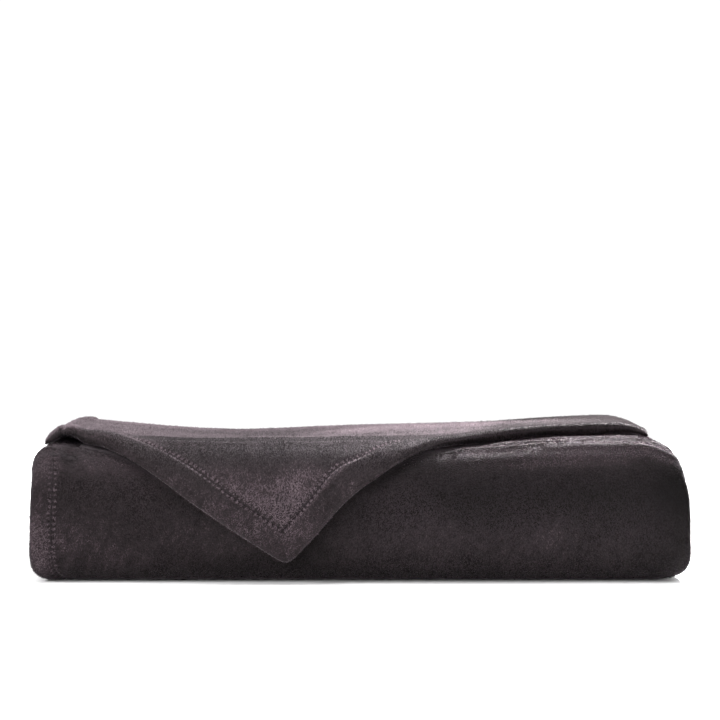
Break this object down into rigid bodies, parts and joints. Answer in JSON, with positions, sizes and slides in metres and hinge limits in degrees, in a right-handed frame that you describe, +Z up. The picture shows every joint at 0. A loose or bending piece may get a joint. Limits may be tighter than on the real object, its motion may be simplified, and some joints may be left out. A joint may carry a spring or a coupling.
{
  "type": "folded fleece blanket",
  "caption": "Plush fleece blanket folded into a flat parcel, one hemmed corner turned down over its front fold.",
  "frame": {"origin": "middle of the underside of the folded parcel, on the surface that it rests on", "axes": "+X along the parcel, to the right when its front fold is seen; -Y out of the front fold; +Z up"},
  "size_m": [0.6098, 0.3876, 0.1429],
  "materials": {
    "fleece": "plush charcoal fleece with a plum cast, matt with a soft sheen at grazing angles"
  },
  "bodies": {
    "root": {"blanket": "fleece"}
  },
  "joints": []
}
